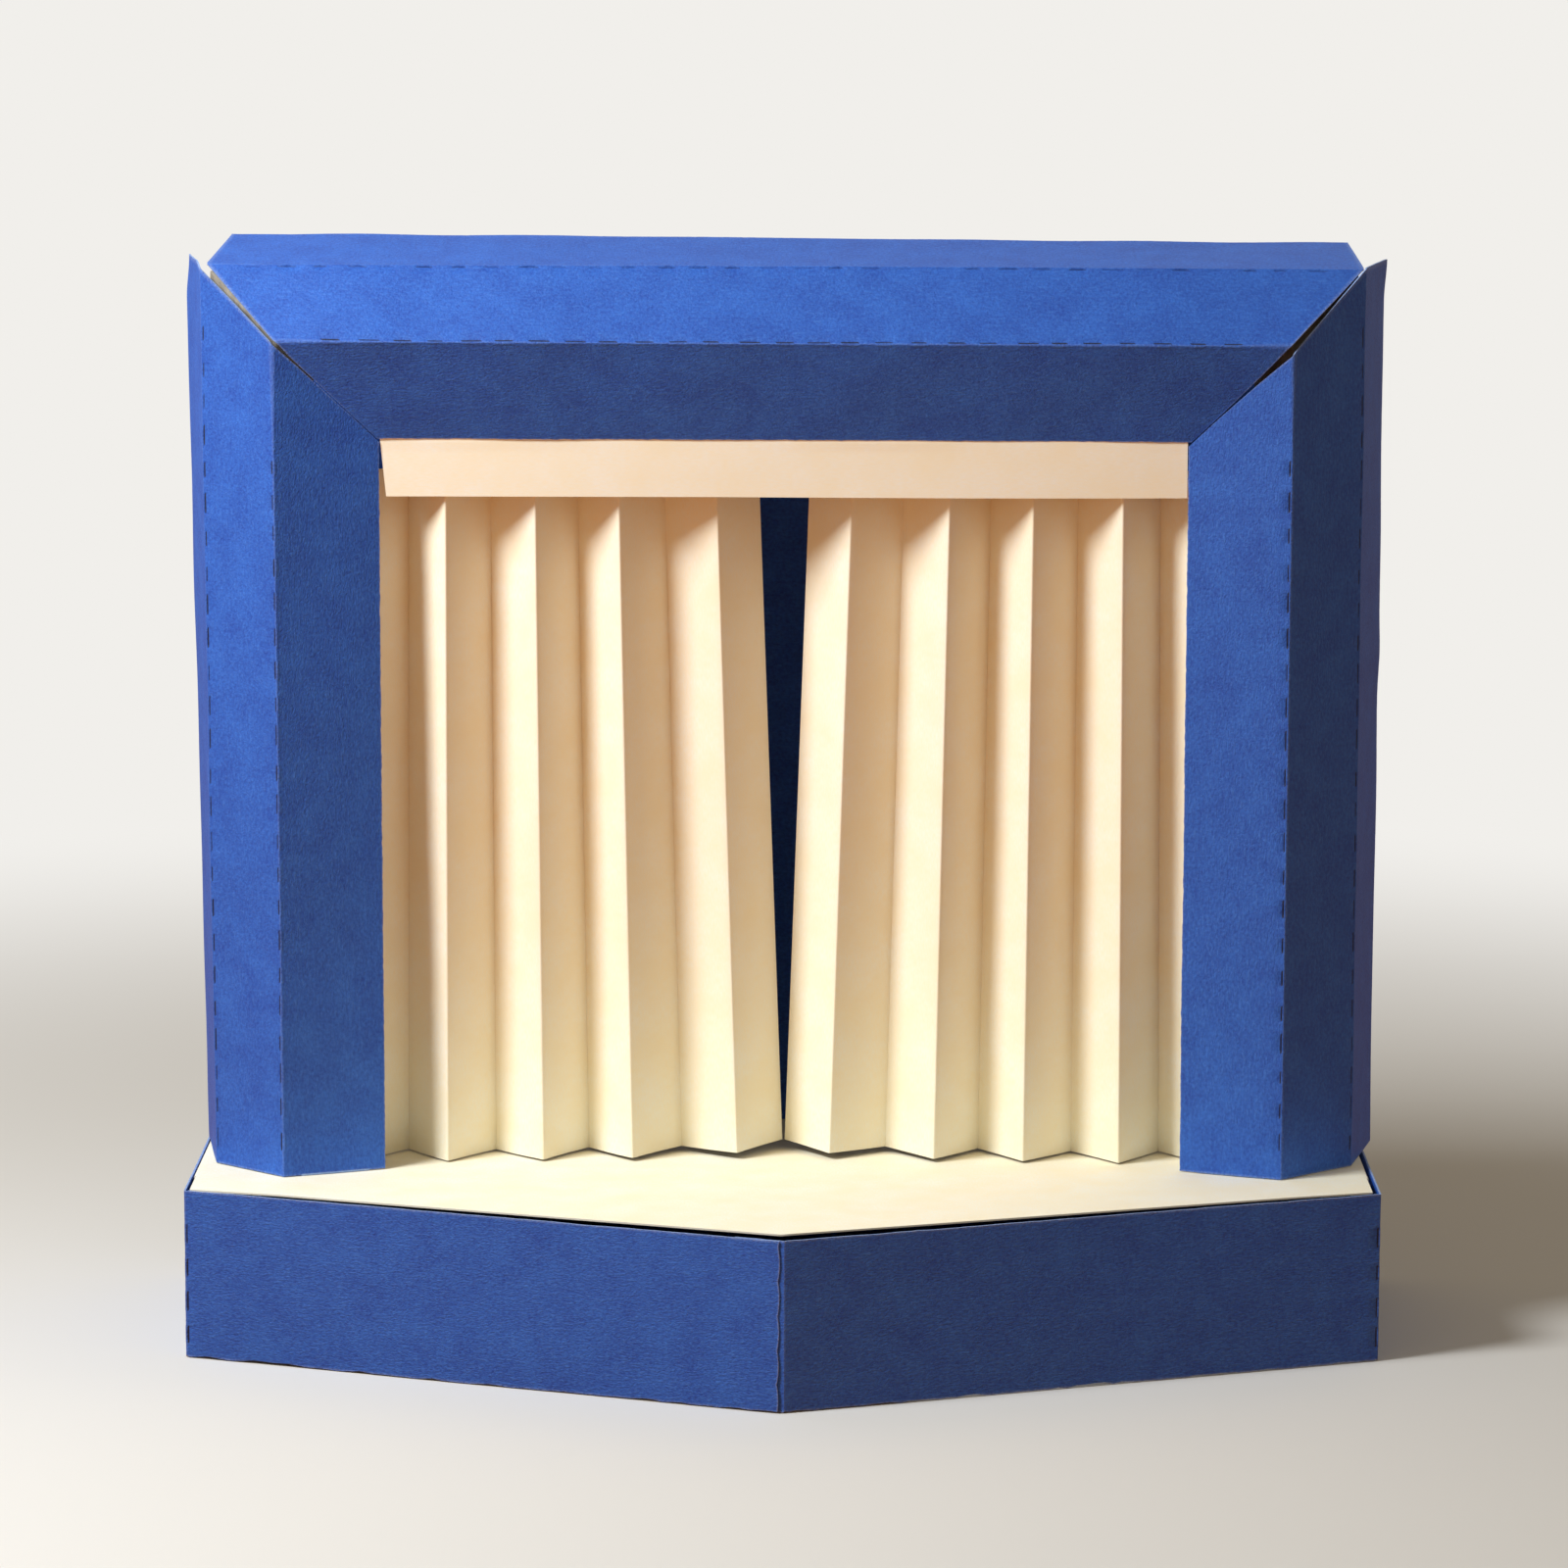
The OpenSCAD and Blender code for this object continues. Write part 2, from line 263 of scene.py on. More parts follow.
def perforate(line, normal, kinds, level, first, last, fold, place, lip, shade_level, seed):
    """Slits beside a fold: a groove, and a lip that bends less sharply.

    Moves the line, and gives the painted shade of the slits: how dark the inside of each slit is painted,
    more where it is open.
    """
    middle = kind_columns(kinds, strip(fold, place))[1]
    bend = kind_columns(kinds, strip(fold, BEND))
    along = np.linspace(0.0, 1.0, len(bend))
    far, share = (bend[-1], along) if place == BEFORE else (bend[0], along - 1.0)
    way = np.stack([normal[:, far, 1], -normal[:, far, 0]], axis=-1)
    cut = slits(level[:, middle], first, last, seed)
    line[:, middle] -= SLIT_DEEP * cut[:, None] * normal[:, middle]
    raised = 0.4 * normal[:, bend] + share[None, :, None] * way[:, None, :]
    line[:, bend] += lip * cut[:, None, None] * raised
    # Painted shade: the inside of each slit is painted dark, more where it gapes
    slit = np.zeros(line.shape[:2])
    slit[:, middle] = shade_level * cut
    return slit


def joined(a, b, c):
    return np.stack([a, b, c], axis=-1)


# Materials


def linear(code):
    """sRGB hex colour to linear RGBA."""
    parts = [int(code[k:k + 2], 16) / 255.0 for k in (1, 3, 5)]
    return [p / 12.92 if p <= 0.04045 else ((p + 0.055) / 1.055) ** 2.4 for p in parts] + [1.0]


def add(tree, kind, inputs=None, **settings):
    """Adds a node with its settings, and fills its inputs with values or with links from other nodes."""
    node = tree.nodes.new(kind)
    for name, value in settings.items():
        setattr(node, name, value)
    for key, value in (inputs or {}).items():
        if isinstance(value, bpy.types.NodeSocket):
            tree.links.new(value, node.inputs[key])
        else:
            node.inputs[key].default_value = value
    return node


def per_mm(size):
    """Scale of a pattern whose marks are this many millimetres across, for coordinates in metres."""
    return 1000.0 / size


BLUE_DEEP = "#1447a6"
BLUE_PALE = "#2a67c8"
BLUE_THREAD = "#4a84da"
BLUE_RUBBED = "#b4c9ee"
# Painted shade for the inside of the slits
BLUE_SLIT_SHADE = "#101a3c"
BLUE_CUT_DEEP = "#5f86c8"
BLUE_CUT_PALE = "#b4c8ec"
CREAM_DEEP = "#fff5d8"
CREAM_PALE = "#fffbea"
CREAM_CUT_DEEP = "#f4ead4"
CREAM_CUT_PALE = "#fffaee"
# Grey brown painted shade for the cream corner straps
STRAP_SHADE_DEEP = "#6e665a"
STRAP_SHADE_PALE = "#a89f8e"


def new_finish(name):
    finish = bpy.data.materials.new(name)
    finish.use_nodes = True
    finish.node_tree.nodes.clear()
    return finish, finish.node_tree


def felt_marked_blue_card():
    """Card dyed blue in the pulp and pressed between felts: matt and cloudy, with a slanting felt mark."""
    finish, tree = new_finish("felt_marked_blue_card")
    flat = add(tree, "ShaderNodeUVMap", uv_map="flat_card").outputs["UV"]
    # Clouds of dye about 8 mm across, broken up by fibres; a fibre is 0.1 mm and drawn 0.8 mm
    cloud = add(
        tree,
        "ShaderNodeTexNoise",
        {"Vector": flat, "Scale": per_mm(8.0), "Detail": 3.0, "Roughness": 0.55, "Distortion": 0.3},
    )
    fibre = add(tree, "ShaderNodeTexNoise", {"Vector": flat, "Scale": per_mm(0.8), "Detail": 2.0})
    mottle = add(tree, "ShaderNodeMix", {"Factor": 0.6, "A": cloud.outputs["Fac"], "B": fibre.outputs["Fac"]})
    # The felt leaves threads 0.3 mm wide; they are drawn 0.45 by 1.6 mm so that they show
    slanted = add(
        tree,
        "ShaderNodeMapping",
        {"Vector": flat, "Rotation": (0.0, 0.0, math.radians(24.0)), "Scale": (1.0 / 1.6, 1.0 / 0.45, 1.0)},
    )
    thread = add(
        tree,
        "ShaderNodeTexNoise",
        {"Vector": slanted.outputs["Vector"], "Scale": per_mm(1.0), "Detail": 2.0, "Distortion": 0.8},
    )
    # Felt tooth is 0.2 mm; it is drawn 0.5 mm
    tooth = add(tree, "ShaderNodeTexNoise", {"Vector": flat, "Scale": per_mm(0.5), "Detail": 3.0})
    spread = add(
        tree,
        "ShaderNodeMapRange",
        {"Value": mottle.outputs["Result"], "From Min": 0.34, "From Max": 0.66},
    )
    clouds = add(
        tree,
        "ShaderNodeMix",
        {"Factor": spread.outputs["Result"], "A": linear(BLUE_DEEP), "B": linear(BLUE_PALE)},
        data_type="RGBA",
    )
    thin = add(
        tree,
        "ShaderNodeMapRange",
        {"Value": thread.outputs["Fac"], "From Min": 0.5, "From Max": 0.8, "To Max": 0.4},
    )
    threads = add(
        tree,
        "ShaderNodeMix",
        {"Factor": thin.outputs["Result"], "A": clouds.outputs["Result"], "B": linear(BLUE_THREAD)},
        data_type="RGBA",
    )
    # Rims and folds are rubbed pale where the tooth stands up
    wear = add(tree, "ShaderNodeAttribute", attribute_name="wear")
    high = add(
        tree,
        "ShaderNodeMapRange",
        {"Value": tooth.outputs["Fac"], "From Min": 0.35, "From Max": 0.7, "To Min": 0.1, "To Max": 0.9},
    )
    rub = add(
        tree,
        "ShaderNodeMath",
        {0: wear.outputs["Fac"], 1: high.outputs["Result"]},
        operation="MULTIPLY",
    )
    rubbed_pale = add(
        tree,
        "ShaderNodeMix",
        {"Factor": rub.outputs["Value"], "A": threads.outputs["Result"], "B": linear(BLUE_RUBBED)},
        data_type="RGBA",
    )
    # The slits of a perforated fold get painted shade: their dark inside is painted into the colour
    slit = add(tree, "ShaderNodeAttribute", attribute_name="slit")
    inside = add(
        tree,
        "ShaderNodeMapRange",
        {"Value": slit.outputs["Fac"], "From Min": 0.2, "From Max": 0.55},
    )
    colour = add(
        tree,
        "ShaderNodeMix",
        {"Factor": inside.outputs["Result"], "A": rubbed_pale.outputs["Result"], "B": linear(BLUE_SLIT_SHADE)},
        data_type="RGBA",
    )
    height = add(
        tree,
        "ShaderNodeMath",
        {0: tooth.outputs["Fac"], 1: thread.outputs["Fac"]},
        operation="ADD",
    )
    bump = add(
        tree,
        "ShaderNodeBump",
        {"Height": height.outputs["Value"], "Strength": 0.7, "Distance": 0.0002},
    )
    rough = add(tree, "ShaderNodeMapRange", {"Value": tooth.outputs["Fac"], "To Min": 0.55, "To Max": 0.7})
    shader = add(
        tree,
        "ShaderNodeBsdfPrincipled",
        {
            "Base Color": colour.outputs["Result"],
            "Roughness": rough.outputs["Result"],
            "IOR": 1.45,
            "Specular IOR Level": 0.6,
            "Normal": bump.outputs["Normal"],
        },
    )
    add(tree, "ShaderNodeOutputMaterial", {"Surface": shader.outputs["BSDF"]})
    return finish


def cut_blue_edge():
    """The cut edge of the blue card: open fibres, paler than the face."""
    finish, tree = new_finish("cut_blue_edge")
    flat = add(tree, "ShaderNodeUVMap", uv_map="flat_card").outputs["UV"]
    # Cut fibres are 0.1 mm; they are drawn 0.9 mm
    fuzz = add(tree, "ShaderNodeTexNoise", {"Vector": flat, "Scale": per_mm(0.9), "Detail": 3.0})
    colour = add(
        tree,
        "ShaderNodeMix",
        {"Factor": fuzz.outputs["Fac"], "A": linear(BLUE_CUT_DEEP), "B": linear(BLUE_CUT_PALE)},
        data_type="RGBA",
    )
    bump = add(tree, "ShaderNodeBump", {"Height": fuzz.outputs["Fac"], "Strength": 0.6, "Distance": 0.0002})
    shader = add(
        tree,
        "ShaderNodeBsdfPrincipled",
        {
            "Base Color": colour.outputs["Result"],
            "Roughness": 0.95,
            "IOR": 1.45,
            "Specular IOR Level": 0.1,
            "Normal": bump.outputs["Normal"],
        },
    )
    add(tree, "ShaderNodeOutputMaterial", {"Surface": shader.outputs["BSDF"]})
    return finish


def smooth_cream_card():
    """Smooth calendered cream card: matt, warm, almost even, with a faint grain along the sheet."""
    finish, tree = new_finish("smooth_cream_card")
    flat = add(tree, "ShaderNodeUVMap", uv_map="flat_card").outputs["UV"]
    # Faint clouds of the pulp are about 11 mm across
    cloud = add(tree, "ShaderNodeTexNoise", {"Vector": flat, "Scale": per_mm(11.0), "Detail": 2.0})
    # The grain is 0.1 mm; it is drawn 0.4 by 1.5 mm
    stretched = add(tree, "ShaderNodeMapping", {"Vector": flat, "Scale": (1.0 / 0.4, 1.0 / 1.5, 1.0)})
    grain = add(
        tree,
        "ShaderNodeTexNoise",
        {"Vector": stretched.outputs["Vector"], "Scale": per_mm(1.0), "Detail": 3.0},
    )
    mixed = add(
        tree,
        "ShaderNodeMath",
        {0: cloud.outputs["Fac"], 1: grain.outputs["Fac"]},
        operation="MULTIPLY",
    )
    spread = add(
        tree,
        "ShaderNodeMapRange",
        {"Value": mixed.outputs["Value"], "From Min": 0.12, "From Max": 0.4},
    )
    colour = add(
        tree,
        "ShaderNodeMix",
        {"Factor": spread.outputs["Result"], "A": linear(CREAM_DEEP), "B": linear(CREAM_PALE)},
        data_type="RGBA",
    )
    bump = add(tree, "ShaderNodeBump", {"Height": grain.outputs["Fac"], "Strength": 0.15, "Distance": 0.0001})
    rough = add(tree, "ShaderNodeMapRange", {"Value": cloud.outputs["Fac"], "To Min": 0.66, "To Max": 0.8})
    shader = add(
        tree,
        "ShaderNodeBsdfPrincipled",
        {
            "Base Color": colour.outputs["Result"],
            "Roughness": rough.outputs["Result"],
            "IOR": 1.47,
            "Specular IOR Level": 0.15,
            "Normal": bump.outputs["Normal"],
        },
    )
    add(tree, "ShaderNodeOutputMaterial", {"Surface": shader.outputs["BSDF"]})
    return finish


def cut_cream_edge():
    """The cut edge of the cream card: a little whiter and rougher than the face."""
    finish, tree = new_finish("cut_cream_edge")
    flat = add(tree, "ShaderNodeUVMap", uv_map="flat_card").outputs["UV"]
    # Cut fibres are 0.1 mm; they are drawn 0.8 mm
    fuzz = add(tree, "ShaderNodeTexNoise", {"Vector": flat, "Scale": per_mm(0.8), "Detail": 2.0})
    colour = add(
        tree,
        "ShaderNodeMix",
        {"Factor": fuzz.outputs["Fac"], "A": linear(CREAM_CUT_DEEP), "B": linear(CREAM_CUT_PALE)},
        data_type="RGBA",
    )
    shader = add(
        tree,
        "ShaderNodeBsdfPrincipled",
        {"Base Color": colour.outputs["Result"], "Roughness": 0.85, "IOR": 1.47, "Specular IOR Level": 0.1},
    )
    add(tree, "ShaderNodeOutputMaterial", {"Surface": shader.outputs["BSDF"]})
    return finish


def glue_soaked_cream_card():
    """Cream card painted grey brown all over as painted shade, for straps that sit in the dark of the mitre
    gaps: patchy and a little slick.
    """
    finish, tree = new_finish("glue_soaked_cream_card")
    flat = add(tree, "ShaderNodeUVMap", uv_map="flat_card").outputs["UV"]
    # Patches of the painted shade about 3 mm across
    patch = add(
        tree,
        "ShaderNodeTexNoise",
        {"Vector": flat, "Scale": per_mm(3.0), "Detail": 4.0, "Roughness": 0.65},
    )
    spread = add(
        tree,
        "ShaderNodeMapRange",
        {"Value": patch.outputs["Fac"], "From Min": 0.3, "From Max": 0.7},
    )
    colour = add(
        tree,
        "ShaderNodeMix",
        {"Factor": spread.outputs["Result"], "A": linear(STRAP_SHADE_DEEP), "B": linear(STRAP_SHADE_PALE)},
        data_type="RGBA",
    )
    rough = add(tree, "ShaderNodeMapRange", {"Value": patch.outputs["Fac"], "To Min": 0.45, "To Max": 0.75})
    bump = add(tree, "ShaderNodeBump", {"Height": patch.outputs["Fac"], "Strength": 0.3, "Distance": 0.0002})
    shader = add(
        tree,
        "ShaderNodeBsdfPrincipled",
        {
            "Base Color": colour.outputs["Result"],
            "Roughness": rough.outputs["Result"],
            "IOR": 1.47,
            "Specular IOR Level": 0.3,
            "Normal": bump.outputs["Normal"],
        },
    )
    add(tree, "ShaderNodeOutputMaterial", {"Surface": shader.outputs["BSDF"]})
    return finish


BLUE = ("blue_card", felt_marked_blue_card(), cut_blue_edge())
CREAM = ("cream_card", smooth_cream_card(), cut_cream_edge())
# The corner straps are cream card with grey brown painted shade
STRAP_SHADED = ("cream_card", glue_soaked_cream_card(), CREAM[2])


# Base


def wall(name, node, path_at, radii, steps, seed, swell, slit_place=None):
    """An upright folded wall of the base, from the ground to the level of the stage."""
    levels = np.arange(0.0, BASE_H + 0.01, BASE_H / round(BASE_H / ROW))
    line, normal, flat, kinds = stacked([folded_section(path_at(z), radii, steps) for z in levels])
    cols = line.shape[1]
    z = np.repeat(levels[:, None], cols, axis=1)
    # A perforated wall stands in a little, as its lips stand out
    stands_in = swell + 0.15 * bool(slit_place)
    line = line + normal * (swell * waves(flat, z, 45.0, seed) - stands_in)[:, :, None]
    slit = 0.0
    if slit_place:
        slit = perforate(
            line, normal, kinds, z, 3.0, BASE_H - 1.0, CORNER_FOLD, slit_place, 0.2, 1.0, seed + 3
        )
    z[0] += np.abs(ragged(cols, 0.3, seed + 1))
    z[-1] -= np.abs(ragged(cols, 0.08, seed + 2))
    inner = line - CARD * normal
    card = Card(name, (seed * 37.0, seed * 91.0))
    card.shell(
        joined(line[:, :, 0], line[:, :, 1], z),
        joined(inner[:, :, 0], inner[:, :, 1], z),
        np.stack([flat, z], axis=-1),
        rubbed(z.shape, kinds),
        slit,
    )
    card.make(node, "theatre", BLUE)


left_corner = np.array([-BASE_HALF, CORNER_Y])
right_corner = np.array([BASE_HALF, CORNER_Y])
left_rear = np.array([-BASE_HALF, REAR_Y])
right_rear = np.array([BASE_HALF, REAR_Y])
to_left = unit(left_corner - BASE_TIP)
to_right = unit(right_corner - BASE_TIP)
# The right front panel turns back into its tab just short of the tip, to go behind the left one
TAB_FOLD_IN = 0.815
tab_fold = BASE_TIP + TAB_FOLD_IN * to_right


def torn_seam(z):
    """How far the left panel stops short of the tip: torn along its perforation, wider at the foot."""
    scallop = abs(math.sin(math.pi * (z + 1.5) / SLIT_PITCH)) ** 0.7
    return 0.35 + 0.4 * (1.0 - z / BASE_H) + 0.45 * (1.0 - scallop)


wall(
    "base_wall_left_card",
    "base_wall_left",
    lambda z: [BASE_TIP + torn_seam(z) * to_left, left_corner, left_rear],
    radii=[0.5],
    steps=[64, 26],
    seed=11,
    swell=0.1,
    slit_place=BEFORE,
)
wall(
    "base_wall_right_card",
    "base_wall_right",
    lambda z: [right_rear, right_corner, tab_fold, tab_fold + GLUE_TAB * to_left],
    radii=[0.5, 0.5],
    steps=[26, 64, 6],
    seed=12,
    swell=0.1,
    slit_place=AFTER,
)
wall(
    "base_back_wall_card",
    "base_back_wall",
    lambda z: [
        left_rear + [CARD, -GLUE_TAB],
        left_rear + [CARD, 0.0],
        right_rear - [CARD, 0.0],
        right_rear - [CARD, GLUE_TAB],
    ],
    radii=[0.6, 0.6],
    steps=[6, 70, 6],
    seed=13,
    swell=0.05,
)


# Stage floor

# Gaps between the floor and the walls, and how much further back it stops at its tip
FLOOR_GAP_LEFT = 0.5
FLOOR_GAP_RIGHT = 1.2
FLOOR_GAP_FRONT = 1.6
FLOOR_TIP_BACK = 3.4
# Depth of the flaps, how far they stop short of the corners, and how far they lean out at their feet
FLOOR_FLAP = 16.0
FLOOR_FLAP_TRIM = 14.0
LEAN_LEFT = 0.1
LEAN_RIGHT = 0.75


def stage_floor():
    """The five-sided floor: flaps folded down inside the rear and side walls, and a free front edge."""
    slope = math.atan2(CORNER_Y - BASE_TIP[1], BASE_HALF)
    left_x = FLOOR_GAP_LEFT + CARD - BASE_HALF
    right_x = BASE_HALF - CARD - FLOOR_GAP_RIGHT
    rear_y = REAR_Y - 2.0 * CARD
    front_y = (CARD + FLOOR_GAP_FRONT) / math.cos(slope) + BASE_TIP[1]
    corner_y = front_y + right_x * math.tan(slope)
    tip_y = front_y + FLOOR_TIP_BACK
    radius = 0.5
    # From the edge of the plate round its fold and down the flap
    turn = np.linspace(0.0, math.pi / 2.0, 5)
    fall = np.linspace(0.0, FLOOR_FLAP - radius, 6)[1:]
    bend = np.concatenate([turn, np.full(len(fall), math.pi / 2.0)])[1:]
    down = np.concatenate([radius - radius * np.cos(turn), radius + fall])[1:]
    flat_run = np.concatenate([radius * turn, radius * turn[-1] + fall])[1:]
    n = len(bend)

    def out(lean):
        """How far out the points of a fold and flap stand that leans this much at its foot."""
        return np.concatenate([radius * np.sin(turn), radius + lean * fall / fall[-1]])[1:]

    plate_x = np.concatenate([
        np.linspace(left_x + radius, 0.0, 60),
        np.linspace(0.0, right_x - radius, 60)[1:],
    ])
    steps = np.concatenate([np.linspace(0.0, 0.985, 48), [0.995, 1.0]])
    row = np.concatenate([np.zeros(n, int), np.arange(len(steps))])
    col = np.concatenate([np.zeros(n, int), np.arange(len(plate_x)), np.full(n, len(plate_x) - 1)])
    rear_k = np.concatenate([np.arange(n)[::-1], np.full(len(steps), -1)])
    side_k = np.concatenate([np.arange(n)[::-1], np.full(len(plate_x), -1), np.arange(n)])
    side = np.concatenate([np.full(n, -1.0), np.zeros(len(plate_x)), np.ones(n)])
    x = np.repeat(plate_x[col][None, :], len(row), axis=0)
    edge_y = tip_y + np.abs(x) / right_x * (corner_y - tip_y)
    y = rear_y - radius + steps[row][:, None] * (edge_y - rear_y + radius)
    # The free edge lifts a little between the corners
    ends = np.interp(x, [-139.0, -118.0, 120.0, 139.0], [0.0, 1.0, 1.0, 0.6])
    lift = 0.4 * ease(steps[row][:, None] * 3.0 - 2.0) * ends
    z = FLOOR_Z - 0.07 + lift + 0.06 * (waves(x, y, 70.0, 21) - 1.0) * (1.0 - lift)
    flat = np.stack([x, y], axis=-1)
    normal = np.zeros(x.shape + (3,))
    normal[:, :, 2] = 1.0
    side_out = {-1.0: out(LEAN_LEFT), 1.0: out(LEAN_RIGHT)}
    rear_out = out(0.0)
    for c in np.nonzero(side_k >= 0)[0]:
        k = side_k[c]
        x[:, c] += side[c] * side_out[side[c]][k]
        z[:, c] -= down[k]
        flat[:, c, 0] += side[c] * flat_run[k]
        normal[:, c] = (side[c] * math.sin(bend[k]), 0.0, math.cos(bend[k]))
    for r in np.nonzero(rear_k >= 0)[0]:
        k = rear_k[r]
        y[r] += rear_out[k]
        z[r] -= down[k]
        flat[r, :, 1] += flat_run[k]
        normal[r, side_k < 0] = (0.0, math.sin(bend[k]), math.cos(bend[k]))
    on_side = (np.maximum(side_k[1:], side_k[:-1]) >= 0)[None, :]
    on_rear = (np.maximum(rear_k[1:], rear_k[:-1]) >= 0)[:, None]
    short_y = (y[1:, 1:] > rear_y - FLOOR_FLAP_TRIM) | (y[1:, 1:] < corner_y + FLOOR_FLAP_TRIM)
    short_x = np.abs(x[1:, 1:]) > right_x - FLOOR_FLAP_TRIM
    holes = (on_side & on_rear) | (on_side & short_y) | (on_rear & short_x)
    top = joined(x, y, z)
    card = Card("stage_floor_card", (400.0, 150.0))
    card.shell(top, top - CARD * normal, flat, holes=holes)
    card.make("stage_floor", "theatre", CREAM)


stage_floor()


# Stage frame


def frame_section(splay, fold_r, ridge_r, edge_out, ridge_out, fold_out):
    """Section of a post or beam, its three lines drawn a little further out or in than planned."""
    angle = math.radians(splay)
    fold = FOLD + [fold_out, 0.0]
    flap = fold + FLAP_W * np.array([math.sin(angle), math.cos(angle)])
    path = [flap, fold, RIDGE + [ridge_out, 0.0], EDGE + [edge_out, 0.0]]
    return folded_section(path, [fold_r, ridge_r], [8, 8, 10])


# How far the ends of the beam sit above their planned height
LEFT_RISE = 0.45
RIGHT_RISE = -0.15
# The folds of a post open out from this height up to the mitre, and its rows fan out to the mitre's slant
POST_OPENS_AT = 210.0
POST_OPENS_OVER = 26.0
# Likewise for the beam, by the distance from its middle
BEAM_OPENS_AT = 103.0
BEAM_OPENS_OVER = 14.0
MITRE_ROWS = 36
# The top of a side flap is bent outwards above this height
HOOK_AT = 244.0
HOOK_OVER = 10.0
# The tab under a post: how far in from the ends of the inner face, and its depth
POST_TAB_TRIM = 4.0
POST_TAB_DEEP = 8.0


def left_post_gap(u):
    """How open the left mitre is on the post's side, by the distance out from the opening."""
    return np.interp(u, [0.0, 18.0, 23.0, 28.0, 34.0, 42.0], [0.42, 0.34, 0.9, 1.5, 2.1, 3.4])


def left_beam_gap(u):
    """How open the left mitre is on the beam's side."""
    return 0.2 + 0.68 * ease((u - 18.0) / 6.0)


def right_gap(u):
    """The right mitre opens most at the ridge."""
    return np.interp(
        u,
        [0.0, 8.0, 14.0, 19.0, 23.0, 28.0, 34.0, 41.0],
        [0.12, 0.18, 0.6, 1.2, 1.9, 1.6, 1.0, 0.5],
    )


def post(name, node, hand, shape_at, gap, rise, hook, seed):
    """A post: flap, outer face, ridge and inner face, with a tab under its foot."""
    plain = np.arange(FLOOR_Z + 0.12, POST_OPENS_AT + 0.5, ROW)
    part = np.concatenate([np.zeros(len(plain)), np.linspace(0.0, 1.0, MITRE_ROWS)[1:]])
    level = np.concatenate([plain, plain[-1] + part[len(plain):] * (BEAM_Z + RIDGE[0] - plain[-1])])
    opened = ease((level - POST_OPENS_AT) / POST_OPENS_OVER)
    sections = []
    for z, o in zip(level, opened):
        splay, edge_out, ridge_out, fold_out = shape_at(z)
        sections.append(frame_section(splay, 0.4 + 0.5 * o, 0.4 + 1.0 * o, edge_out, ridge_out, fold_out))
    line, normal, flat, kinds = stacked(sections)
    cols = line.shape[1]
    end = np.minimum(BEAM_Z + line[:, :, 0] - gap(line[:, :, 0]) * math.sqrt(0.5), FRAME_TOP - 0.05) + rise
    z = np.where(part[:, None] > 0.0, plain[-1] + part[:, None] * (end - plain[-1]), level[:, None])
    line = line + normal * (0.16 * waves(flat, z, 38.0, seed) - 0.1)[:, :, None]
    rear = np.clip(1.0 - flat / FLAP_W, 0.0, 1.0)
    line[:, :, 0] += hook * rear ** 3 * ease((z - HOOK_AT) / HOOK_OVER)
    way = np.stack([normal[:, :, 1], -normal[:, :, 0]], axis=-1)
    line[:, 0] += way[:, 0] * np.abs(ragged(len(part), 0.09, seed + 1))[:, None]
    line[:, -1] -= way[:, -1] * ragged(len(part), 0.05, seed + 2)[:, None]
    z[0] += np.abs(ragged(cols, 0.06, seed + 3))
    z[-1] -= np.abs(ragged(cols, 0.06, seed + 4))
    # The ridge is slit on the side that is turned to the lamp
    lit_side = BEFORE if hand < 0.0 else AFTER
    slit = perforate(line, normal, kinds, z, 46.6, 213.5, RIDGE_FOLD, lit_side, 0.24, 1.0, seed + 5)
    slit = slit + perforate(line, normal, kinds, z, 44.0, 246.0, FLAP_FOLD, AFTER, 0.1, 0.9, seed + 6)
    inner = line - CARD * normal
    card = Card(name, (seed * 37.0, seed * 53.0))
    card.shell(
        joined(hand * (OPENING + line[:, :, 0]), line[:, :, 1], z),
        joined(hand * (OPENING + inner[:, :, 0]), inner[:, :, 1], z),
        np.stack([z, flat], axis=-1),
        rubbed(z.shape, kinds),
        slit,
    )
    way = unit(EDGE - RIDGE)
    back = -left_of(way)
    begin = RIDGE + CARD * back + POST_TAB_TRIM * way
    stop = EDGE + CARD * back - POST_TAB_TRIM * way
    across = np.linspace(0.0, 1.0, 9)[:, None, None]
    deep = np.linspace(-CARD / 2.0, POST_TAB_DEEP, 7)[None, :, None]
    taper = np.clip(deep, 0.0, None) / 2.0 * (1.0 - 2.0 * across)
    tab = begin + across * (stop - begin) + deep * back + taper * way
    lift = np.full(tab.shape[:2], FLOOR_Z)
    card.shell(
        joined(hand * (OPENING + tab[:, :, 0]), tab[:, :, 1], lift + CARD),
        joined(hand * (OPENING + tab[:, :, 0]), tab[:, :, 1], lift),
        tab,
    )
    card.make(node, "theatre", BLUE)


def left_shape(z):
    """Splay of the left flap, and how far out the edge, the ridge and the fold stand."""
    up = (z - FLOOR_Z) / (FRAME_TOP - FLOOR_Z)
    return 9.3 + 3.2 * up, 0.0, 0.35 + 0.5 * up, 0.05 + 1.1 * up


def right_shape(z):
    """The right flap has a dent at two thirds of its height."""
    up = (z - FLOOR_Z) / (FRAME_TOP - FLOOR_Z)
    return 14.2 + 0.8 * math.exp(-((z - 160.0) / 7.0) ** 2), -0.3, 0.2, 0.35 - 0.25 * up


post("post_left_card", "post_left", -1.0, left_shape, left_post_gap, LEFT_RISE, -0.8, 31)
post("post_right_card", "post_right", 1.0, right_shape, right_gap, RIGHT_RISE, 0.6, 32)


